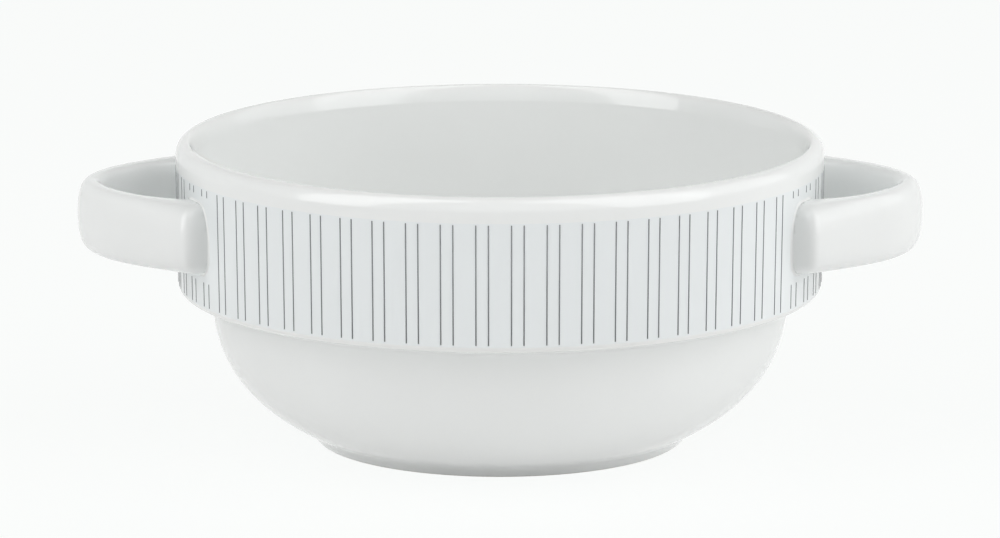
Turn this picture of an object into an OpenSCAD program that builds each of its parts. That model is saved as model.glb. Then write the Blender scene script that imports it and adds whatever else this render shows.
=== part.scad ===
// Two-handled stacking soup bowl: a turned porcelain body with two strap handles
// luted to its upright band, and a printed band of paired hairlines.
// Millimetres, +Z up, the foot on Z = 0, the handles along X.

/* [Bowl] */
// Outer diameter of the upright band at the ledge
band_d = 124; // [116:1:136]
// How much the band's radius grows on the way up to the rim
band_draft = 0.4; // [0:0.1:0.8]
// Height from the table to the top of the rim
bowl_h = 58.5; // [56:0.5:66]
// Thickness of the band's wall
wall_t = 3.2; // [3:0.1:4.2]
// Thickness of the floor inside the foot ring
floor_t = 4.2; // [3.4:0.1:5.5]

/* [Rim] */
// Width of the rim's outer rounding
rim_w = 2.2; // [1.6:0.1:2.4]
// Height of the rim's outer rounding
rim_h = 2.8; // [2:0.1:3.6]
// Height of the long rounding inside the lip
lip_h = 3.4; // [2:0.1:5]
// Share of a quarter turn that the lip rounds before it breaks into the wall
lip_share = 0.72; // [0.5:0.02:1]

/* [Ledge] */
// Height of the stacking ledge above the table
ledge_z = 29.5; // [27.5:0.5:31.5]
// Inward step of the ledge, from the band to the lower bowl
ledge_w = 6.4; // [5:0.2:8]
// Radius of the band's lower edge
band_edge_r = 1.5; // [0.8:0.1:1.8]
// Radius of the hollow corner under the ledge
ledge_corner_r = 1.4; // [0.6:0.1:1.8]
// Height of the soft shoulder inside, above the ledge
shoulder_h = 8; // [6:0.5:10]

/* [Lower bowl] */
// Fullness of the outside curve, 2 is a plain ellipse
outer_fullness = 2.36; // [2:0.02:2.6]
// Fullness of the inside curve
inner_fullness = 3.5; // [3:0.1:4]

/* [Foot] */
// Outer diameter of the foot ring where it meets the bowl
foot_d = 75; // [70:0.2:80]
// How much the foot ring's radius shrinks on the way down to the table
foot_taper = 2; // [0.5:0.1:2.6]
// Height of the foot ring
foot_h = 2.3; // [1.8:0.1:3]
// Width of the foot ring at the table
foot_w = 3.8; // [3:0.1:6]
// Radius of the foot ring's edges
foot_edge_r = 0.7; // [0.3:0.1:0.7]
// Radius of the hollow corner where the bowl meets the foot ring
foot_corner_r = 2.4; // [1:0.1:3]
// Depth of the hollow inside the foot ring
foot_recess = 1.6; // [1.2:0.1:2.2]

/* [Handles] */
// Reach of each handle beyond the band
handle_reach = 19.4; // [17:0.2:23]
// Drop from the rim to the middle of the handles
handle_drop = 14.5; // [13:0.5:16]
// Distance between the middles of one handle's two roots
root_spread = 51; // [46:1:54]
// Fullness of the loop seen from above, 2 is a plain ellipse
loop_fullness = 1.77; // [1.7:0.01:2]
// Height of the strap at its tip
tip_h = 13.5; // [11:0.1:14]
// Height of the strap along its legs
leg_h = 13.4; // [11:0.1:14]
// Thickness of the strap at its tip
tip_t = 4.4; // [3.8:0.1:5.2]
// Thickness of the strap along its legs
leg_t = 5.8; // [5:0.1:6.6]
// Fullness of the strap's section, 2 is a plain ellipse
strap_fullness = 2.4; // [2:0.1:3.2]

/* [Handle roots] */
// Thickness of the strap where its root is thickest
root_t = 12.6; // [10:0.1:13]
// Height of the strap at its root
root_h = 13.6; // [12:0.1:15]
// Fullness of the strap's section at its root
root_fullness = 3; // [2.2:0.1:3.4]
// Distance from the band at which the root starts to swell
swell_gap = 12; // [10:0.5:13]
// Length over which the root swells
swell_run = 10; // [8:0.5:11]
// How much the root thins again as it turns in to the band
root_tuck = 4.4; // [2:0.1:5]
// Distance from the band at which the root starts to turn in
tuck_gap = 1.2; // [0.8:0.1:1.6]
// Length over which the root turns in
tuck_run = 3.4; // [3:0.1:4]

/* [Slip joints] */
// Thickness of the slip bed between a root and the band
slip_t = 0.5; // [0.3:0.1:0.8]
// Width of the slip squeezed out round a root
slip_bead = 0.6; // [0.3:0.1:1]

/* [Print] */
// Number of line pairs round the band
pair_count = 60; // [40:2:72]
// Distance between the two lines of a pair
pair_gap = 2.3; // [1.6:0.1:2.8]
// Width of a printed line
line_w = 0.22; // [0.2:0.02:0.5]
// Thickness of the fired ink
ink_t = 0.05; // [0.04:0.01:0.1]
// Bare height between the ledge and the lines
print_lift = 1.6; // [1.4:0.1:2.5]
// Bare height between the lines and the rim
print_drop = 4.9; // [3:0.1:6]
// Bare margin between the lines and a handle's root
root_margin = 1.5; // [1:0.1:2.5]

/* [Hidden] */

// How far a cutter runs past what it cuts
overrun = 2;
// Full turns, lofts and small arcs
facets = 160;
corner_steps = 6;
rim_steps = 10;
curve_steps = 26;
shoulder_steps = 10;
loop_steps = 24;
section_steps = 28;

porcelain_colour = [0.92, 0.93, 0.92];
slip_colour = [0.90, 0.91, 0.90];
ink_colour = [0.30, 0.32, 0.36];

band_r = band_d / 2;
inner_r = band_r - wall_t;
lower_r = band_r - ledge_w;
inner_lower_r = lower_r - wall_t;
rim_top_r = band_r + band_draft * (bowl_h - rim_h - ledge_z) / (bowl_h - ledge_z) - rim_w;
foot_r = foot_d / 2;
foot_base_r = foot_r - foot_taper;
foot_inner_r = foot_base_r - foot_w;
floor_z = foot_recess + floor_t;
shoulder_z = ledge_z + slip_t;

// Depth of the full outside curve whose lower end lands on the foot ring
outer_drop = (ledge_z - foot_h) / pow(1 - pow(foot_r / lower_r, outer_fullness), 1 / outer_fullness);
foot_turn = asin(pow((ledge_z - foot_h) / outer_drop, outer_fullness / 2));
ledge_turn = asin(pow(ledge_corner_r / outer_drop, outer_fullness / 2));
inner_drop = shoulder_z - floor_z;
// Share of the outside curve given up to the hollow corner at the foot
foot_corner_share = 0.06;

handle_z = bowl_h - handle_drop;
root_y = root_spread / 2;
root_turn = asin(root_y / band_r);
// The loop's curve starts so far inside the band that the whole root is cut off by it
root_end_y = root_y + root_t / 2 + slip_bead;
loop_x = sqrt(pow(band_r, 2) - pow(root_end_y, 2)) - overrun;
loop_a = band_r + handle_reach - tip_t / 2 - loop_x;
tip_gap = handle_reach - tip_t / 2;
// Share of the reach over which the tip thickens into the legs
leg_share = 0.33;
leg_run = tip_gap * leg_share;
// Share of the root's thinning that is done where it meets the band
seat_share = 0.5;
root_half = (root_t - root_tuck * seat_share) / 2;
// Stations of the loft that one slip joint needs, counted from a root
joint_stations = 9;

pair_turn = 360 / pair_count;
gap_turn = 2 * asin(pair_gap / 2 / band_r);
line_turn = 2 * asin(line_w / 2 / band_r);
print_z = ledge_z + print_lift;
print_top_z = bowl_h - print_drop;
root_low_z = handle_z - root_h / 2 - root_margin;
root_high_z = handle_z + root_h / 2 + root_margin;
root_from = asin((root_y - root_half - root_margin) / band_r);
root_to = asin((root_y + root_half + root_margin) / band_r);
line_turns = [
    for (k = [0 : pair_count - 1])
        for (side = [-1, 1])
            (k + 1 / 2) * pair_turn + side * gap_turn / 2
];

function unit(v) = v / norm(v);
function mix(a, b, k) = a + (b - a) * k;
function clamp(x) = min(1, max(0, x));
function ease(x) = clamp(x) * clamp(x) * (3 - 2 * clamp(x));
function signed_pow(x, p) = sign(x) * pow(abs(x), p);

// Outer radius of the band at a height
function band_at(z) = band_r + band_draft * (z - ledge_z) / (bowl_h - ledge_z);

// Arc of radius r that rounds the corner b on the way from a to c
function corner(a, b, c, r) =
    let (u = unit(a - b))
    let (v = unit(c - b))
    let (half = acos(u * v) / 2)
    let (centre = b + unit(u + v) * r / sin(half))
    let (first = b + u * r / tan(half) - centre)
    let (start = atan2(first[1], first[0]))
    let (sweep = sign(u[1] * v[0] - u[0] * v[1]) * (180 - 2 * half))
    [
        for (i = [0 : corner_steps])
            let (turn = start + sweep * i / corner_steps)
            centre + r * [cos(turn), sin(turn)]
    ];

function outer_point(turn) = [
    lower_r * pow(cos(turn), 2 / outer_fullness),
    ledge_z - outer_drop * pow(sin(turn), 2 / outer_fullness)
];

function inner_point(turn) = [
    inner_lower_r * pow(cos(turn), 2 / inner_fullness),
    shoulder_z - inner_drop * pow(sin(turn), 2 / inner_fullness)
];

outer_curve = [
    for (i = [0 : curve_steps])
        outer_point(mix(foot_turn * (1 - foot_corner_share), ledge_turn, i / curve_steps))
];

inner_curve = [
    for (i = [1 : curve_steps])
        inner_point(90 * i / curve_steps)
];

lip_turn = 90 * lip_share;
lip_curve = [
    for (i = [1 : corner_steps])
        let (turn = lip_turn * i / corner_steps)
        [
            mix(rim_top_r, inner_r, sin(turn) / sin(lip_turn)),
            bowl_h - lip_h * (1 - cos(turn)) / (1 - cos(lip_turn))
        ]
];

shoulder_curve = [
    for (i = [0 : shoulder_steps])
        let (k = i / shoulder_steps)
        [mix(inner_r, inner_lower_r, (1 - cos(180 * k)) / 2), shoulder_z + shoulder_h * (1 - k)]
];

foot_curve = concat(
    [[0, foot_recess]],
    corner([0, foot_recess], [foot_inner_r, foot_recess], [foot_inner_r, 0], foot_edge_r),
    corner([foot_inner_r, foot_recess], [foot_inner_r, 0], [foot_base_r, 0], foot_edge_r),
    corner([foot_inner_r, 0], [foot_base_r, 0], [foot_r, foot_h], foot_edge_r),
    corner([foot_base_r, 0], [foot_r, foot_h], outer_curve[0], foot_corner_r)
);

rim_curve = [
    for (i = [0 : rim_steps])
        let (turn = 90 * i / rim_steps)
        [rim_top_r + rim_w * cos(turn), bowl_h - rim_h * (1 - sin(turn))]
];

band_curve = concat(
    corner([lower_r, 0], [lower_r, ledge_z], [band_r, ledge_z], ledge_corner_r),
    corner([lower_r, ledge_z], [band_r, ledge_z], rim_curve[0], band_edge_r),
    rim_curve
);

// Foot, outside, rim and inside of the body as one half section
body_section = concat(foot_curve, outer_curve, band_curve, lip_curve, shoulder_curve, inner_curve);

// Middle of the strap seen from above, and its outward direction there
function loop_middle(turn) = [
    loop_x + loop_a * pow(cos(turn), 2 / loop_fullness),
    root_y * signed_pow(sin(turn), 2 / loop_fullness)
];
function loop_outward(turn) = unit([
    pow(cos(turn), 2 - 2 / loop_fullness) / loop_a,
    signed_pow(sin(turn), 2 - 2 / loop_fullness) / root_y
]);

// One station of the loft: middle, outward direction, thickness, height and fullness
function station(middle, outward) =
    let (gap = norm(middle) - band_r)
    let (leg = ease((tip_gap - gap) / leg_run))
    let (swell = ease((swell_gap - gap) / swell_run))
    let (tuck = ease((tuck_gap - gap) / tuck_run))
    [
        middle,
        outward,
        mix(mix(tip_t, leg_t, leg), root_t, swell) - root_tuck * tuck,
        mix(mix(tip_h, leg_h, leg), root_h, swell),
        mix(strap_fullness, root_fullness, swell)
    ];

loop_stations = [
    for (i = [-loop_steps : loop_steps])
        let (turn = 90 * i / loop_steps)
        station(loop_middle(turn), loop_outward(turn))
];
last_station = len(loop_stations) - 1;

// Ring of points round the strap at one station, with its section grown all round
function strap_ring(s, grow) = [
    for (k = [0 : section_steps - 1])
        let (turn = 360 * k / section_steps)
        let (across = signed_pow(cos(turn), 2 / s[4]) * (s[2] / 2 + grow))
        let (rise = signed_pow(sin(turn), 2 / s[4]) * (s[3] / 2 + grow))
        [s[0][0] + s[1][0] * across, s[0][1] + s[1][1] * across, handle_z + rise]
];

// Strap lofted through a run of stations, with its section grown all round
module strap(first, last, grow) {
    rings = last - first;
    points = [
        for (i = [first : last])
            each strap_ring(loop_stations[i], grow)
    ];
    walls = [
        for (i = [0 : rings - 1])
            for (k = [0 : section_steps - 1])
                let (a = i * section_steps + k)
                let (b = i * section_steps + (k + 1) % section_steps)
                each [
                    [a, a + section_steps, b + section_steps],
                    [a, b + section_steps, b]
                ]
    ];
    start_cap = [[for (k = [0 : section_steps - 1]) k]];
    end_cap = [[for (k = [0 : section_steps - 1]) (rings + 1) * section_steps - 1 - k]];
    polyhedron(points = points, faces = concat(walls, start_cap, end_cap));
}

// Cast strap loop whose two ends are cut to the round of the band
module handle() {
    difference() {
        strap(0, last_station, 0);
        cylinder(r1 = band_at(0) + slip_t, r2 = band_at(bowl_h) + slip_t, h = bowl_h, $fn = facets);
    }
}

// Skin on the band, from one turn round it and of one height
module band_skin(turn, wide, low_z, high_z, thick) {
    rotate([0, 0, turn - wide / 2])
        rotate_extrude(angle = wide, $fn = facets)
            polygon([
                [band_at(low_z), low_z],
                [band_at(low_z) + thick, low_z],
                [band_at(high_z) + thick, high_z],
                [band_at(high_z), high_z]
            ]);
}

// Thin bed of slip between the band and one root, a bead wider than the root
module slip_joint(first, last, turn) {
    bed_half_h = root_h / 2 + slip_bead + overrun;
    intersection() {
        strap(first, last, slip_bead);
        band_skin(turn, 2 * (root_to - root_from), handle_z - bed_half_h, handle_z + bed_half_h, slip_t);
    }
}

module print_line(turn, low_z, high_z) {
    band_skin(turn, line_turn, low_z, high_z, ink_t);
}

// Lines of one stretch of the band; a line that would meet a root is broken round it
module print_stretch(from, to) {
    for (turn = line_turns) {
        if (turn > from && turn < to) {
            off_axis = asin(abs(sin(turn)));
            if (off_axis > root_from && off_axis < root_to) {
                print_line(turn, print_z, root_low_z);
                if (print_top_z > root_high_z) {
                    print_line(turn, root_high_z, print_top_z);
                }
            } else {
                print_line(turn, print_z, print_top_z);
            }
        }
    }
}

// Body turned in one piece with its rim, band, ledge and foot ring
module bowl_body() {
    color(porcelain_colour)
        rotate_extrude($fn = facets)
            polygon(body_section);
}

module left_handle() {
    color(porcelain_colour)
        rotate([0, 0, 180])
            handle();
}

module right_handle() {
    color(porcelain_colour)
        handle();
}

module left_front_slip_joint() {
    color(slip_colour)
        rotate([0, 0, 180])
            slip_joint(last_station - joint_stations, last_station, root_turn);
}

module left_rear_slip_joint() {
    color(slip_colour)
        rotate([0, 0, 180])
            slip_joint(0, joint_stations, -root_turn);
}

module right_front_slip_joint() {
    color(slip_colour)
        slip_joint(0, joint_stations, -root_turn);
}

module right_rear_slip_joint() {
    color(slip_colour)
        slip_joint(last_station - joint_stations, last_station, root_turn);
}

module front_print() {
    color(ink_colour)
        print_stretch(180 + root_turn, 360 - root_turn);
}

module rear_print() {
    color(ink_colour)
        print_stretch(root_turn, 180 - root_turn);
}

module left_loop_print() {
    color(ink_colour)
        print_stretch(180 - root_turn, 180 + root_turn);
}

module right_loop_print() {
    color(ink_colour) {
        print_stretch(0, root_turn);
        print_stretch(360 - root_turn, 360);
    }
}

bowl_body();
left_handle();
right_handle();
left_front_slip_joint();
left_rear_slip_joint();
right_front_slip_joint();
right_rear_slip_joint();
front_print();
rear_print();
left_loop_print();
right_loop_print();
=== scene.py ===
import math

import bmesh
import bpy
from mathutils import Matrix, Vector


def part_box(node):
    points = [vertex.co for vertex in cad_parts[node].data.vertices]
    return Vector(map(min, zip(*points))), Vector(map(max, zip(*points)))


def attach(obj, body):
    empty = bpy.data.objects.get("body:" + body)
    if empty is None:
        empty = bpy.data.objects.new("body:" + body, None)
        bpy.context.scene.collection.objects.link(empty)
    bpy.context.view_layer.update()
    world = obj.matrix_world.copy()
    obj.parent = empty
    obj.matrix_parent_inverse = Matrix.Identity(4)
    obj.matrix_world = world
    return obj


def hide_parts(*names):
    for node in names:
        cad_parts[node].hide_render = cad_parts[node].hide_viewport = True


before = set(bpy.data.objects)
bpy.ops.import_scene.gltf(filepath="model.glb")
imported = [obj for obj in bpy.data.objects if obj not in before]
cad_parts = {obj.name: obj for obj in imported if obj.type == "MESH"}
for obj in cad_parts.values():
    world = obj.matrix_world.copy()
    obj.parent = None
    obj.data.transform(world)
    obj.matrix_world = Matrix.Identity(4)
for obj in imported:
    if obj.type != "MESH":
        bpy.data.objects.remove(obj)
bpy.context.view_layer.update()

# Body: the bowl itself, white porcelain jiggered in one piece with its rounded rim, upright
# band, stacking ledge and low foot ring, then dipped in clear glaze. The ring that it stands
# on is wiped bare, so that it doesn't stick to the kiln shelf.
MM = 0.001
BAND_R, BAND_DRAFT = 61.99, 0.4
BOWL_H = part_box("bowl_body")[1][2] / MM
WALL_T, FLOOR_T = 3.2, 4.2
RIM_W, RIM_H, LIP_H, LIP_TURN = 2.2, 2.8, 3.4, math.radians(64.8)
LEDGE_Z, LEDGE_W, BAND_EDGE_R, LEDGE_CORNER_R = 29.5, 6.4, 1.5, 1.4
SHOULDER_H, SHOULDER_Z = 5.6, 30.0
OUTER_FULLNESS, INNER_FULLNESS = 2.36, 3.5
FOOT_R, FOOT_TAPER, FOOT_H, FOOT_W, FOOT_RECESS = 37.5, 2.0, 2.3, 3.8, 1.6
FOOT_EDGE_R, FOOT_CORNER_R, FOOT_CORNER_SHARE = 0.7, 5.0, 0.06
BODY_TURNS = 256


def blend(a, b, share):
    return a + (b - a) * share


def rounded_corner(a, b, c, radius, steps=12):
    """Arc of the radius that rounds the corner b on the way from a to c."""
    a, b, c = Vector(a), Vector(b), Vector(c)
    u, v = (a - b).normalized(), (c - b).normalized()
    half = u.angle(v) / 2
    centre = b + (u + v).normalized() * radius / math.sin(half)
    first = b + u * radius / math.tan(half) - centre
    start = math.atan2(first.y, first.x)
    sweep = math.copysign(math.pi - 2 * half, u.y * v.x - u.x * v.y)
    turns = [start + sweep * i / steps for i in range(steps + 1)]
    return [(centre.x + radius * math.cos(t), centre.y + radius * math.sin(t)) for t in turns]


def band_at(z):
    """Outer radius of the band at a height."""
    return BAND_R + BAND_DRAFT * (z - LEDGE_Z) / (BOWL_H - LEDGE_Z)


RIM_TOP_R = band_at(BOWL_H - RIM_H) - RIM_W


def body_half_section(curve_steps=64, lip_steps=16, shoulder_steps=24):
    """The body's half section as (radius, height) from under the floor round to inside it."""
    inner_r, lower_r = BAND_R - WALL_T, BAND_R - LEDGE_W
    inner_lower_r, foot_base_r = lower_r - WALL_T, FOOT_R - FOOT_TAPER
    foot_inner_r = foot_base_r - FOOT_W
    floor_z = FOOT_RECESS + FLOOR_T
    power = 2 / OUTER_FULLNESS
    rise = LEDGE_Z - FOOT_H
    drop = rise / (1 - (FOOT_R / lower_r) ** OUTER_FULLNESS) ** (1 / OUTER_FULLNESS)
    foot_turn = math.asin((rise / drop) ** (1 / power)) * (1 - FOOT_CORNER_SHARE)
    ledge_turn = math.asin((LEDGE_CORNER_R / drop) ** (1 / power))
    outer = []
    for i in range(curve_steps + 1):
        turn = blend(foot_turn, ledge_turn, i / curve_steps)
        outer.append((lower_r * math.cos(turn) ** power, LEDGE_Z - drop * math.sin(turn) ** power))
    foot = [(0.0, FOOT_RECESS), (foot_inner_r, FOOT_RECESS), (foot_inner_r, 0.0),
            (foot_base_r, 0.0), (FOOT_R, FOOT_H), outer[0]]
    foot_radii = [FOOT_EDGE_R, FOOT_EDGE_R, FOOT_EDGE_R, FOOT_CORNER_R]
    section = [foot[0]]
    for a, b, c, corner_r in zip(foot, foot[1:], foot[2:], foot_radii):
        section += rounded_corner(a, b, c, corner_r)
    section += outer
    rim_start = (RIM_TOP_R + RIM_W, BOWL_H - RIM_H)
    ledge = [(lower_r, 0.0), (lower_r, LEDGE_Z), (BAND_R, LEDGE_Z), rim_start]
    section += rounded_corner(*ledge[:3], LEDGE_CORNER_R)
    section += rounded_corner(*ledge[1:], BAND_EDGE_R)
    for i in range(lip_steps + 1):
        turn = math.pi / 2 * i / lip_steps
        section.append((RIM_TOP_R + RIM_W * math.cos(turn),
                        BOWL_H - RIM_H * (1 - math.sin(turn))))
    for i in range(1, lip_steps + 1):
        turn = LIP_TURN * i / lip_steps
        section.append((blend(RIM_TOP_R, inner_r, math.sin(turn) / math.sin(LIP_TURN)),
                        BOWL_H - LIP_H * (1 - math.cos(turn)) / (1 - math.cos(LIP_TURN))))
    for i in range(shoulder_steps + 1):
        share = i / shoulder_steps
        section.append((blend(inner_r, inner_lower_r, (1 - math.cos(math.pi * share)) / 2),
                        SHOULDER_Z + SHOULDER_H * (1 - share)))
    power = 2 / INNER_FULLNESS
    for i in range(1, curve_steps + 1):
        turn = math.pi / 2 * i / curve_steps
        reach = math.cos(turn) ** power if i < curve_steps else 0.0
        section.append((inner_lower_r * reach,
                        SHOULDER_Z - (SHOULDER_Z - floor_z) * math.sin(turn) ** power))
    return section


class Wire:
    """A socket in a node tree: arithmetic on it adds Math nodes, node() adds any other node."""

    def __init__(self, tree, socket=None):
        self.tree = tree
        self.socket = socket

    def node(self, kind, settings={}, sockets={}, out=0):
        made = self.tree.nodes.new(kind)
        for name, value in settings.items():
            setattr(made, name, value)
        for name, value in sockets.items():
            for one in value if isinstance(value, list) else [value]:
                if isinstance(one, Wire):
                    self.tree.links.new(one.socket, made.inputs[name])
                else:
                    made.inputs[name].default_value = one
        return Wire(self.tree, made.outputs[out] if len(made.outputs) else None)

    def axes(self):
        """The X, Y and Z of a vector."""
        outputs = self.node("ShaderNodeSeparateXYZ", {}, {"Vector": self}).socket.node.outputs
        return [Wire(self.tree, output) for output in outputs]

    def mixed(self, first, second):
        """A colour that goes from the first to the second as this wire goes from 0 to 1."""
        return self.node("ShaderNodeMix", {"data_type": "RGBA"},
                         {"Factor": self, 6: first, 7: second}, 2)

    def math(self, operation, *values):
        return self.node("ShaderNodeMath", {"operation": operation}, dict(enumerate(values)))

    def vector(self, operation, *values, **named):
        sockets = dict(enumerate(values))
        sockets.update(named)
        return self.node("ShaderNodeVectorMath", {"operation": operation}, sockets)

    def __add__(self, other):
        return self.math("ADD", self, other)

    def __radd__(self, other):
        return self.math("ADD", other, self)

    def __sub__(self, other):
        return self.math("SUBTRACT", self, other)

    def __rsub__(self, other):
        return self.math("SUBTRACT", other, self)

    def __mul__(self, other):
        return self.math("MULTIPLY", self, other)

    def __truediv__(self, other):
        return self.math("DIVIDE", self, other)

    def __rtruediv__(self, other):
        return self.math("DIVIDE", other, self)

    def __pow__(self, other):
        return self.math("POWER", self, other)

    def __gt__(self, other):
        return self.math("GREATER_THAN", self, other)

    def __lt__(self, other):
        return self.math("LESS_THAN", self, other)


def shaping_tree(name, inputs):
    """An empty Geometry Nodes tree with the named inputs, each as a wire."""
    tree = bpy.data.node_groups.new(name, "GeometryNodeTree")
    tree.interface.new_socket("Geometry", in_out="OUTPUT", socket_type="NodeSocketGeometry")
    for label, kind in inputs.items():
        tree.interface.new_socket(label, in_out="INPUT", socket_type="NodeSocket" + kind)
    source = tree.nodes.new("NodeGroupInput")
    return tree, {label: Wire(tree, source.outputs[label]) for label in inputs}


def end_tree(tree, shape, material):
    """Close a tree: realize, give the material, and send it out."""
    start = Wire(tree)
    whole = start.node("GeometryNodeRealizeInstances", {}, {"Geometry": shape})
    smooth = start.node("GeometryNodeSetShadeSmooth", {},
                        {"Geometry": whole, "Shade Smooth": True})
    dressed = start.node("GeometryNodeSetMaterial", {},
                         {"Geometry": smooth, "Material": material})
    start.node("NodeGroupOutput", {}, {"Geometry": dressed})


def shaped_piece(name, guide, tree, values):
    """Run a tree on a guide mesh and keep the result as a plain mesh piece."""
    piece = bpy.data.objects.new(name, guide)
    bpy.context.scene.collection.objects.link(piece)
    modifier = piece.modifiers.new("shape", "NODES")
    modifier.node_group = tree
    for item in tree.interface.items_tree:
        if item.in_out == "INPUT" and item.name in values:
            modifier[item.identifier] = values[item.name]
    evaluated = piece.evaluated_get(bpy.context.evaluated_depsgraph_get())
    mesh = bpy.data.meshes.new_from_object(evaluated)
    piece.modifiers.remove(modifier)
    piece.data = mesh
    mesh.name = name
    return piece


def point_guide(name, points, attributes={}):
    """A mesh of bare points in millimetres, with per-point attributes, for a tree to read."""
    guide = bpy.data.meshes.new(name)
    guide.from_pydata([(x * MM, y * MM, z * MM) for x, y, z in points], [], [])
    for label, (kind, values) in attributes.items():
        layer = guide.attributes.new(label, kind, "POINT")
        layer.data.foreach_set("vector" if kind == "FLOAT_VECTOR" else "value", values)
    return guide


PORCELAIN_WHITE = (0.88, 0.895, 0.885)
GLAZE_IOR, GLAZE_ROUGH, GLAZE_ROUGH_SPREAD = 1.5, 0.05, 0.05
CLOUD_SCALE, CLOUD_DETAIL, CLOUD_DEPTH = 42.0, 3.0, 0.015
RIPPLE_SCALE, RIPPLE_DETAIL, RIPPLE_STRENGTH, RIPPLE_H = 150.0, 2.0, 0.06, 0.4


def glaze_material(name, white):
    """Clear gloss glaze on porcelain: faint clouds in the white and a slow ripple in the gloss."""
    material = bpy.data.materials.new(name)
    material.use_nodes = True
    shader = material.node_tree.nodes["Principled BSDF"]
    shader.inputs["IOR"].default_value = GLAZE_IOR
    start = Wire(material.node_tree)
    place = start.node("ShaderNodeTexCoord", {}, {}, "Object")
    cloud = start.node("ShaderNodeTexNoise", {}, {
        "Vector": place, "Scale": CLOUD_SCALE, "Detail": CLOUD_DETAIL}, "Fac")
    ripple = start.node("ShaderNodeTexNoise", {}, {
        "Vector": place, "Scale": RIPPLE_SCALE, "Detail": RIPPLE_DETAIL}, "Fac")
    colour = cloud.mixed((*[c * (1 - CLOUD_DEPTH) for c in white], 1.0),
                         (*[c * (1 + CLOUD_DEPTH) for c in white], 1.0))
    bump = start.node("ShaderNodeBump", {}, {
        "Strength": RIPPLE_STRENGTH, "Distance": RIPPLE_H * MM, "Height": ripple})
    rough = GLAZE_ROUGH + cloud * GLAZE_ROUGH_SPREAD
    start.tree.links.new(bump.socket, shader.inputs["Normal"])
    start.tree.links.new(colour.socket, shader.inputs["Base Color"])
    start.tree.links.new(rough.socket, shader.inputs["Roughness"])
    return material, shader, place, colour, rough


# On the body, painted shade darkens the hollow corners under the ledge and over the foot, tinted
# the faint green-grey of glaze pooled there; glaze draws thin on the rim and the band's lower edge.
# The print's clear film cools the band, and the foot is bare. Each ring is a radius, a height and a
# reach.
SHADE_AND_POOL_RINGS = ((BAND_R - LEDGE_W + 0.6, LEDGE_Z - 0.8, 1.8), (FOOT_R + 1.0, FOOT_H + 0.8, 1.6))
THIN_RINGS = ((RIM_TOP_R, BOWL_H, 1.2), (BAND_R - 0.3, LEDGE_Z + 0.3, 0.9))
FILM_DEPTH, FILM_LIFT, FILM_DROP = 0.4, 1.2, 4.6
SHADE_AND_POOL_TINT, SHADE_AND_POOL_SHARE = (0.735, 0.765, 0.76), 0.12
THIN_TINT, THIN_SHARE = (0.86, 0.865, 0.85), 0.7
FILM_TINT, FILM_SHARE = (0.825, 0.868, 0.883), 0.6
BARE_TINT, BARE_ROUGH, BARE_H = (0.74, 0.72, 0.68), 0.5, 0.22
body_glaze, shader, place, colour, rough = glaze_material("body_glaze", PORCELAIN_WHITE)
across, deep, up = place.axes()
radius = (across * across + deep * deep) ** 0.5


def near_ring(ring_r, ring_z, reach):
    """1 at a ring of the body, fading to 0 over the reach, in millimetres."""
    off_r, off_z = radius - ring_r * MM, up - ring_z * MM
    return place.math("EXPONENT", (off_r * off_r + off_z * off_z) * (-1.0 / (reach * MM) ** 2))


# Painted shade: a darker, faintly green tint laid into the hollow corners under the ledge and over
# the foot.
shade_and_pooled_glaze = near_ring(*SHADE_AND_POOL_RINGS[0]) + near_ring(*SHADE_AND_POOL_RINGS[1])
thin = near_ring(*THIN_RINGS[0]) + near_ring(*THIN_RINGS[1])
film = ((radius > (BAND_R - FILM_DEPTH) * MM) * (up > (LEDGE_Z + FILM_LIFT) * MM)
        * (up < (BOWL_H - FILM_DROP) * MM))
bare = up < BARE_H * MM
for mask, tint in ((shade_and_pooled_glaze * SHADE_AND_POOL_SHARE, SHADE_AND_POOL_TINT), (thin * THIN_SHARE, THIN_TINT),
                   (film * FILM_SHARE, FILM_TINT), (bare, BARE_TINT)):
    colour = mask.mixed(colour, (*tint, 1.0))
rough = rough + bare * BARE_ROUGH
body_glaze.node_tree.links.new(colour.socket, shader.inputs["Base Color"])
body_glaze.node_tree.links.new(rough.socket, shader.inputs["Roughness"])

WELD_GAP = 0.002


def guide_grid(given, around):
    """A grid with a row for each guide point and columns that go once round it. Also gives, at
    each vertex, its row and its turn."""
    rows = given["Geometry"].node("GeometryNodeAttributeDomainSize", {},
                                  {"Geometry": given["Geometry"]}, "Point Count")
    columns = given[around] + 1
    grid = rows.node("GeometryNodeMeshGrid", {},
                     {"Vertices X": rows, "Vertices Y": columns}, "Mesh")
    count = rows.node("GeometryNodeInputIndex")
    row = rows.math("FLOOR", (count + 0.5) / columns)
    return grid, row, (count - row * columns) * (2 * math.pi) / given[around]


def at_row(given, row, value, kind):
    """A value of the guide point that the row belongs to."""
    return row.node("GeometryNodeSampleIndex", {"data_type": kind, "domain": "POINT"},
                    {"Geometry": given["Geometry"], "Value": value, "Index": row})


def skinned(grid, surface):
    """The grid moved to the surface, with its seam and poles welded shut."""
    moved = surface.node("GeometryNodeSetPosition", {}, {"Geometry": grid, "Position": surface})
    return surface.node("GeometryNodeMergeByDistance", {},
                        {"Geometry": moved, "Distance": WELD_GAP * MM})


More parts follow.
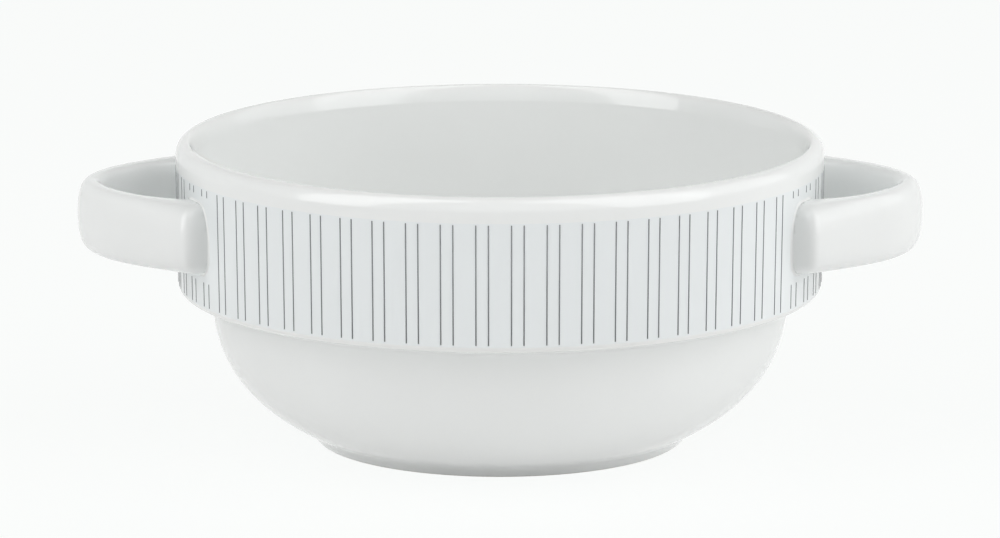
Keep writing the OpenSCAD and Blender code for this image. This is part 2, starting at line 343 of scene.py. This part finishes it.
# The lathe turns the half section round Z.
lathe, given = shaping_tree("body_lathe", {
    "Geometry": "Geometry", "Turns": "Int", "Material": "Material"})
grid, row, turn = guide_grid(given, "Turns")
on_section = at_row(given, row, row.node("GeometryNodeInputPosition"), "FLOAT_VECTOR")
section_r, _, section_z = on_section.axes()
turned = row.node("ShaderNodeCombineXYZ", {}, {
    "X": section_r * row.math("COSINE", turn), "Y": section_r * row.math("SINE", turn),
    "Z": section_z})
end_tree(lathe, skinned(grid, turned), given["Material"])
half_section = point_guide("half_section", [(r, 0.0, z) for r, z in body_half_section()])
body = shaped_piece("bowl", half_section, lathe, {"Turns": BODY_TURNS, "Material": body_glaze})


def face_outwards(piece):
    """Turn every face of a closed piece outwards."""
    shell = bmesh.new()
    shell.from_mesh(piece.data)
    bmesh.ops.recalc_face_normals(shell, faces=shell.faces)
    shell.to_mesh(piece.data)
    shell.free()


face_outwards(body)
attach(body, "root")
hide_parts("bowl_body")

# Handles: two strap loops cast in the same porcelain, crowned at the tip and flatter along the
# legs. Each leg swells towards its root, turns in with a soft corner just short of the band, and
# is cut there to the band's round and stuck on while the clay is leather-hard.
REACH, HANDLE_Z, LOOP_X, ROOT_Y, LOOP_FULLNESS = 19.4, BOWL_H - 14.5, 50.86, 25.5, 1.77
TIP_T, LEG_T, ROOT_T = 5.4, 5.8, 14.2
TIP_H, LEG_H, ROOT_H = 13.5, 13.4, 13.6
TIP_FULLNESS, LEG_FULLNESS, SEAT_FULLNESS = 2.4, 3.0, 1.7
LEG_SHARE, SWELL_GAP, SWELL_RUN = 0.33, 10.7, 10.5
TUCK_GAP, TUCK_RUN, ROOT_TUCK = 0.8, 4.0, 6.2
SEAT_LIFT = 0.05
LOOP_STATIONS, SECTION_POINTS = 144, 56


def ease(x):
    x = min(1.0, max(0.0, x))
    return x * x * (3 - 2 * x)


def signed_power(x, power):
    return math.copysign(abs(x) ** power, x)


def strap_station(x, y, outward):
    """Middle, outward direction, thickness, height, and fullness above and below, at one place."""
    gap = math.hypot(x, y) - BAND_R
    tip_gap = REACH - TIP_T / 2
    leg = ease((tip_gap - gap) / (tip_gap * LEG_SHARE))
    swell = min(1.0, max(0.0, (SWELL_GAP - gap) / SWELL_RUN)) ** 2
    tuck = ease((TUCK_GAP - gap) / TUCK_RUN)
    thick = blend(blend(TIP_T, LEG_T, leg), ROOT_T, swell) - ROOT_TUCK * tuck
    tall = blend(blend(TIP_H, LEG_H, leg), ROOT_H, swell)
    under = blend(TIP_FULLNESS, LEG_FULLNESS, leg)
    return (x, y, HANDLE_Z), outward, thick, tall, blend(under, SEAT_FULLNESS, tuck), under


def strap_stations():
    """Stations round the loop, from its rear end by the tip to its front end, for one side."""
    loop_a = BAND_R + REACH - TIP_T / 2 - LOOP_X
    power = 2 / LOOP_FULLNESS
    stations = []
    for i in range(-LOOP_STATIONS // 2, LOOP_STATIONS // 2 + 1):
        turn = math.pi * i / LOOP_STATIONS
        c, s = max(math.cos(turn), 0.0), math.sin(turn)
        outward = Vector((c ** (2 - power) / loop_a, signed_power(s, 2 - power) / ROOT_Y, 0))
        stations.append(strap_station(LOOP_X + loop_a * c ** power,
                                      ROOT_Y * signed_power(s, power), outward.normalized()))
    return stations


STATIONS = strap_stations()
handle_glaze, _, _, _, _ = glaze_material("handle_glaze", PORCELAIN_WHITE)

# The loft carries a superelliptic section round the loop's stations, and is then cut to the band.
loft, given = shaping_tree("strap_loft", {
    "Geometry": "Geometry", "Section points": "Int", "Seat radius": "Float",
    "Seat top radius": "Float", "Material": "Material"})
grid, row, turn = guide_grid(given, "Section points")


def stored(label, kind):
    """A named attribute of the station that the row belongs to."""
    named = row.node("GeometryNodeInputNamedAttribute", {"data_type": kind}, {"Name": label})
    return at_row(given, row, named, kind)


crown, under = stored("crown", "FLOAT"), stored("under", "FLOAT")
fullness = under + (crown - under) * (row.math("SINE", turn) > 0.0)


def superellipse_side(wave):
    side = row.math(wave, turn)
    return row.math("SIGN", side) * row.math("ABSOLUTE", side) ** (2.0 / fullness)


middle = at_row(given, row, row.node("GeometryNodeInputPosition"), "FLOAT_VECTOR")
sideways = superellipse_side("COSINE") * stored("thick", "FLOAT") * 0.5
upward = superellipse_side("SINE") * stored("tall", "FLOAT") * 0.5
across = row.vector("SCALE", stored("outward", "FLOAT_VECTOR"), Scale=sideways)
lifted = row.node("ShaderNodeCombineXYZ", {}, {"Z": upward})
strap = skinned(grid, row.vector("ADD", row.vector("ADD", middle, across), lifted))
seat = row.node("GeometryNodeMeshCone", {}, {
    "Vertices": BODY_TURNS, "Radius Bottom": given["Seat radius"],
    "Radius Top": given["Seat top radius"], "Depth": BOWL_H * MM}, "Mesh")
strap = row.node("GeometryNodeMeshBoolean", {"operation": "DIFFERENCE", "solver": "EXACT"},
                 {"Mesh 1": strap, "Mesh 2": seat}, "Mesh")
end_tree(loft, strap, given["Material"])


def handle_guide(side):
    """The loop's stations for one side of the bowl, closed by a pinched station at each end."""
    pinched = (0.0, 0.0, 2.0, 2.0)
    closed = [STATIONS[0][:2] + pinched] + STATIONS + [STATIONS[-1][:2] + pinched]
    middles, outwards, thicks, talls, crowns, unders = zip(*closed)
    return point_guide("strap_stations", [(side * x, side * y, z) for x, y, z in middles], {
        "outward": ("FLOAT_VECTOR", [c for o in outwards for c in (side * o.x, side * o.y, 0.0)]),
        "thick": ("FLOAT", [t * MM for t in thicks]), "tall": ("FLOAT", [t * MM for t in talls]),
        "crown": ("FLOAT", crowns), "under": ("FLOAT", unders)})


for handle_name, side in (("left_handle", -1), ("right_handle", 1)):
    handle = shaped_piece(handle_name + "_strap", handle_guide(side), loft, {
        "Section points": SECTION_POINTS, "Seat radius": (band_at(0) + SEAT_LIFT) * MM,
        "Seat top radius": (band_at(BOWL_H) + SEAT_LIFT) * MM, "Material": handle_glaze})
    face_outwards(handle)
    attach(handle, "root")
    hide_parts(handle_name)

# Slip joints: liquid porcelain brushed on to stick a root to the band. What squeezes out is wiped
# with a finger to a small hollow bead all round the root, and is glazed with the rest.
SLIP_WHITE = (0.865, 0.88, 0.87)
BEAD_W, BEAD_H, BEAD_POINTS, BEAD_STEPS = 0.5, 0.45, 96, 6
BEAD_BAND_SINK, BEAD_CREST_SINK, BEAD_BACK_W, BEAD_BACK_SINK = 0.01, 0.1, 0.5, 0.2
ROOT_SEARCH_SHARE, ROOT_SEARCH_HALVINGS = 1 / 3, 40
slip_glaze, _, _, _, _ = glaze_material("slip_glaze", SLIP_WHITE)


def strap_point(place, turn):
    """Point on the strap's skin at a place between stations and a turn round its section."""
    low = min(int(place), len(STATIONS) - 2)
    share = place - low
    a, b = STATIONS[low], STATIONS[low + 1]
    out = a[1].lerp(b[1], share).normalized()
    thick, tall, crown, under = [blend(*pair, share) for pair in zip(a[2:], b[2:])]
    power = 2 / (crown if math.sin(turn) > 0 else under)
    sideways = signed_power(math.cos(turn), power) * thick / 2
    upward = signed_power(math.sin(turn), power) * tall / 2
    return Vector(a[0]).lerp(Vector(b[0]), share) + out * sideways + Vector((0, 0, upward))


def root_outline(rear, lift):
    """Where the strap's skin comes within the lift of the band, all round one root."""
    last = len(STATIONS) - 1
    outline = []
    for k in range(BEAD_POINTS):
        turn = 2 * math.pi * k / BEAD_POINTS
        inside, outside = 0, last * ROOT_SEARCH_SHARE
        if rear:
            inside, outside = last, last - outside
        for _ in range(ROOT_SEARCH_HALVINGS):
            half = (inside + outside) / 2
            at = strap_point(half, turn)
            if at.xy.length < band_at(at.z) + lift:
                inside = half
            else:
                outside = half
        outline.append(at)
    return outline


def bead_mesh(name, rear, side):
    """Closed ring of slip, hollow on its outer face, in the corner between a root and the band."""
    seat, crest = root_outline(rear, 0.0), root_outline(rear, BEAD_H)
    centre = sum(seat, Vector()) / len(seat)
    points, faces = [], []
    per = BEAD_STEPS + 2
    for k, (at, on_strap) in enumerate(zip(seat, crest)):
        tangent = (seat[(k + 1) % BEAD_POINTS] - seat[k - 1]).normalized()
        normal = Vector((at.x, at.y, 0)).normalized()
        away = tangent.cross(normal).normalized()
        if away.dot(at - centre) < 0:
            away = -away
        on_band = at + away * BEAD_W
        on_band.xy = on_band.xy.normalized() * (band_at(on_band.z) - BEAD_BAND_SINK)
        in_strap = on_strap - away * BEAD_CREST_SINK
        for step in range(BEAD_STEPS + 1):
            share = step / BEAD_STEPS
            points.append(on_band.lerp(at, share).lerp(at.lerp(in_strap, share), share))
        points.append(at - away * BEAD_BACK_W - normal * BEAD_BACK_SINK)
    for k in range(BEAD_POINTS):
        for step in range(per):
            a, b = k * per, (k + 1) % BEAD_POINTS * per
            faces.append((a + step, b + step, b + (step + 1) % per, a + (step + 1) % per))
    mesh = bpy.data.meshes.new(name)
    mesh.from_pydata([(side * p.x * MM, side * p.y * MM, p.z * MM) for p in points], [], faces)
    mesh.materials.append(slip_glaze)
    return mesh


for bead_name, side, rear in (("left_front_slip_joint", -1, True),
                              ("left_rear_slip_joint", -1, False),
                              ("right_front_slip_joint", 1, False),
                              ("right_rear_slip_joint", 1, True)):
    bead = bpy.data.objects.new(bead_name + "_bead", bead_mesh(bead_name, rear, side))
    bpy.context.scene.collection.objects.link(bead)
    face_outwards(bead)
    bead.data.polygons.foreach_set("use_smooth", [True] * len(bead.data.polygons))
    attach(bead, "root")
    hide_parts(bead_name)

# Print: paired hairlines of grey ceramic ink, put on the glazed band as a transfer and fired in.
# The lines run all round, also inside the handle loops, and break off short of each root.
PAIRS, PAIR_GAP, LINE_W, INK_T = 60, 2.3, 0.22, 0.05
PRINT_LIFT, PRINT_DROP, ROOT_HALF, ROOT_MARGIN = 1.6, 4.9, 5.2, 1.5
INK_PALE, INK_DARK = (0.20, 0.21, 0.22, 1.0), (0.07, 0.075, 0.085, 1.0)
INK_ROUGH, INK_SEED = 0.22, 7
ink = bpy.data.materials.new("print_ink")
ink.use_nodes = True
ink_shader = ink.node_tree.nodes["Principled BSDF"]
ink_shader.inputs["Roughness"].default_value = INK_ROUGH
density = Wire(ink.node_tree).node("ShaderNodeAttribute", {"attribute_name": "density"}, {}, "Fac")
ink_colour = density.mixed(INK_PALE, INK_DARK)
ink.node_tree.links.new(ink_colour.socket, ink_shader.inputs["Base Color"])

print_sizes = ("Pair turn", "Line width", "Ink thickness", "Band radius", "Band lean",
               "Foot of band", "Low", "High", "Root low", "Root high", "Root from", "Root to",
               "Stretch middle", "Stretch half")
printer, given = shaping_tree("band_lines", {
    "Geometry": "Geometry", "Pairs": "Int", **{label: "Float" for label in print_sizes},
    "Seed": "Int", "Material": "Material"})
pairs = given["Pairs"]
count = pairs.node("GeometryNodeInputIndex")
pair = pairs.math("FLOOR", (count + 0.5) / 2.0)
lean = (count - pair * 2.0) - 0.5
turn = (pair + 0.5) * (2 * math.pi) / pairs + lean * given["Pair turn"]
away = pairs.math("WRAP", turn - given["Stretch middle"], math.pi, -math.pi)
in_stretch = pairs.math("ABSOLUTE", away) < given["Stretch half"]
off_axis = pairs.math("ARCSINE", pairs.math("ABSOLUTE", pairs.math("SINE", turn)))
at_root = (off_axis > given["Root from"]) * (off_axis < given["Root to"])
density = pairs.node("FunctionNodeRandomValue", {"data_type": "FLOAT"},
                     {"ID": count, "Seed": given["Seed"]}, "Value")


def line_run(chosen, low, high):
    """The chosen lines as instances of one thin bar that stands on the band from low to high."""
    middle_z = (low + high) * 0.5
    band_r = given["Band radius"] + (middle_z - given["Foot of band"]) * given["Band lean"]
    line_r = band_r + given["Ink thickness"] * 0.5
    where = pairs.node("ShaderNodeCombineXYZ", {}, {
        "X": line_r * pairs.math("COSINE", turn), "Y": line_r * pairs.math("SINE", turn),
        "Z": middle_z})
    spots = pairs.node("GeometryNodePoints", {}, {"Count": pairs * 2, "Position": where})
    spots = pairs.node("GeometryNodeStoreNamedAttribute",
                       {"data_type": "FLOAT", "domain": "POINT"},
                       {"Geometry": spots, "Name": "density", "Value": density})
    size = pairs.node("ShaderNodeCombineXYZ", {}, {
        "X": given["Ink thickness"], "Y": given["Line width"], "Z": high - low})
    bar = pairs.node("GeometryNodeMeshCube", {}, {"Size": size}, "Mesh")
    facing = pairs.node("ShaderNodeCombineXYZ", {}, {
        "Y": pairs.math("ARCTANGENT", given["Band lean"]), "Z": turn})
    return pairs.node("GeometryNodeInstanceOnPoints", {}, {
        "Points": spots, "Selection": chosen, "Instance": bar, "Rotation": facing})


lines = pairs.node("GeometryNodeJoinGeometry", {}, {"Geometry": [
    line_run(in_stretch * (1 - at_root), given["Low"], given["High"]),
    line_run(in_stretch * at_root, given["Low"], given["Root low"]),
    line_run(in_stretch * at_root, given["Root high"], given["High"])]})
end_tree(printer, lines, given["Material"])

root_turn = math.asin(ROOT_Y / BAND_R)
root_reach = ROOT_HALF + ROOT_MARGIN
for print_name, stretch_middle, stretch_half in (
        ("front_print", -math.pi / 2, math.pi / 2 - root_turn),
        ("rear_print", math.pi / 2, math.pi / 2 - root_turn),
        ("left_loop_print", math.pi, root_turn),
        ("right_loop_print", 0.0, root_turn)):
    print_start = point_guide("print_start", [(0, 0, 0)])
    stretch = shaped_piece(print_name + "_lines", print_start, printer, {
        "Pairs": PAIRS, "Pair turn": 2 * math.asin(PAIR_GAP / 2 / BAND_R),
        "Line width": LINE_W * MM, "Ink thickness": INK_T * MM, "Band radius": BAND_R * MM,
        "Band lean": BAND_DRAFT / (BOWL_H - LEDGE_Z), "Foot of band": LEDGE_Z * MM,
        "Low": (LEDGE_Z + PRINT_LIFT) * MM, "High": (BOWL_H - PRINT_DROP) * MM,
        "Root low": (HANDLE_Z - ROOT_H / 2 - ROOT_MARGIN) * MM,
        "Root high": (HANDLE_Z + ROOT_H / 2 + ROOT_MARGIN) * MM,
        "Root from": math.asin((ROOT_Y - root_reach) / BAND_R),
        "Root to": math.asin((ROOT_Y + root_reach) / BAND_R),
        "Stretch middle": stretch_middle, "Stretch half": stretch_half,
        "Seed": INK_SEED, "Material": ink})
    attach(stretch, "root")
    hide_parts(print_name)

# Floor: a plain white studio table, a hair under the bowl. The camera and the gloss see it near
# white, with the bowl's soft shadow left in.
FLOOR_HALF, FLOOR_GAP, FLOOR_GLOW_SHARE = 4.0, 0.02 * MM, 0.94
FLOOR_MATT, FLOOR_GLOW = (0.93, 0.93, 0.93, 1.0), (0.975, 0.99, 0.98, 1.0)
floor_mesh = bpy.data.meshes.new("studio_floor")
floor_corners = [(-FLOOR_HALF, -FLOOR_HALF), (FLOOR_HALF, -FLOOR_HALF),
                 (FLOOR_HALF, FLOOR_HALF), (-FLOOR_HALF, FLOOR_HALF)]
floor_mesh.from_pydata([(x, y, -FLOOR_GAP) for x, y in floor_corners], [], [(0, 1, 2, 3)])
floor_white = bpy.data.materials.new("studio_white")
floor_white.use_nodes = True
floor_white.node_tree.nodes.clear()


def shown_rays(start):
    """1 for the rays in which the studio is seen, 0 for those that light the bowl."""
    paths = start.node("ShaderNodeLightPath").socket.node.outputs
    camera, glossy, through = [Wire(start.tree, paths[label]) for label in (
        "Is Camera Ray", "Is Glossy Ray", "Is Transmission Ray")]
    return start.math("MAXIMUM", start.math("MAXIMUM", camera, glossy), through)


start = Wire(floor_white.node_tree)
matt = start.node("ShaderNodeBsdfDiffuse", {}, {"Color": FLOOR_MATT})
glow = start.node("ShaderNodeEmission", {}, {"Color": FLOOR_GLOW, "Strength": 1.0})
seen_floor = start.node("ShaderNodeMixShader", {}, {
    0: shown_rays(start) * FLOOR_GLOW_SHARE, 1: matt, 2: glow})
start.node("ShaderNodeOutputMaterial", {}, {"Surface": seen_floor})
floor_mesh.materials.append(floor_white)
floor = bpy.data.objects.new("studio_floor", floor_mesh)
bpy.context.scene.collection.objects.link(floor)

# Light: a tall soft box to the front on each side, which the gloss of the rim mirrors, and a fill
# on the right. The room is dark overhead and white round the horizon, where the camera and the
# gloss see it. Each lamp has a place, a width, a height and a power.
LAMP_AIM = Vector((0.0, 0.0, 0.04))
for lamp_name, where, width, height, power in (
        ("left_softbox", (-0.82, -0.49, 0.80), 0.7, 2.0, 11.8),
        ("right_softbox", (0.82, -0.50, 0.80), 0.9, 2.0, 11.6),
        ("side_fill", (1.2, 0.15, 0.6), 1.2, 1.0, 3.0)):
    lamp = bpy.data.lights.new(lamp_name, "AREA")
    lamp.shape = "RECTANGLE"
    lamp.size, lamp.size_y, lamp.energy = width, height, power
    softbox = bpy.data.objects.new(lamp_name, lamp)
    softbox.location = where
    softbox.rotation_euler = (LAMP_AIM - Vector(where)).to_track_quat("-Z", "Y").to_euler()
    bpy.context.scene.collection.objects.link(softbox)

ROOM_FILL, ROOM_LIGHT = 0.08, (1.0, 1.0, 1.0, 1.0)
HORIZON_WHITE, HORIZON_FROM, HORIZON_TO = (0.97, 0.985, 0.98, 1.0), 0.25, 0.85
room = bpy.data.worlds.new("pale_room")
bpy.context.scene.world = room
room.use_nodes = True
room.node_tree.nodes.clear()
start = Wire(room.node_tree)
_, _, height = start.node("ShaderNodeTexCoord", {}, {}, "Generated").axes()
horizon = start.node("ShaderNodeMapRange", {"interpolation_type": "SMOOTHSTEP"}, {
    "Value": height, "From Min": HORIZON_FROM, "From Max": HORIZON_TO,
    "To Min": 1.0, "To Max": ROOM_FILL})
lit = start.node("ShaderNodeBackground", {}, {"Color": ROOM_LIGHT, "Strength": ROOM_FILL})
shown = start.node("ShaderNodeBackground", {}, {"Color": HORIZON_WHITE, "Strength": horizon})
seen_room = start.node("ShaderNodeMixShader", {}, {0: shown_rays(start), 1: lit, 2: shown})
start.node("ShaderNodeOutputWorld", {}, {"Surface": seen_room})

# Camera: a long lens on a stand, looking slightly down at the bowl from in front.
CAMERA_AT, CAMERA_AIM = Vector((0.0, -1.106, 0.261)), Vector((0.0, 0.0, 0.0327))
LENS, SENSOR_W, NEAR_CLIP = 210.5, 36.0, 0.01
camera = bpy.data.cameras.new("camera")
camera.lens, camera.sensor_width, camera.clip_start = LENS, SENSOR_W, NEAR_CLIP
view = bpy.data.objects.new("camera", camera)
view.location = CAMERA_AT
view.rotation_euler = (CAMERA_AIM - CAMERA_AT).to_track_quat("-Z", "Y").to_euler()
bpy.context.scene.collection.objects.link(view)
bpy.context.scene.camera = view
bpy.context.scene.view_settings.view_transform = "Standard"
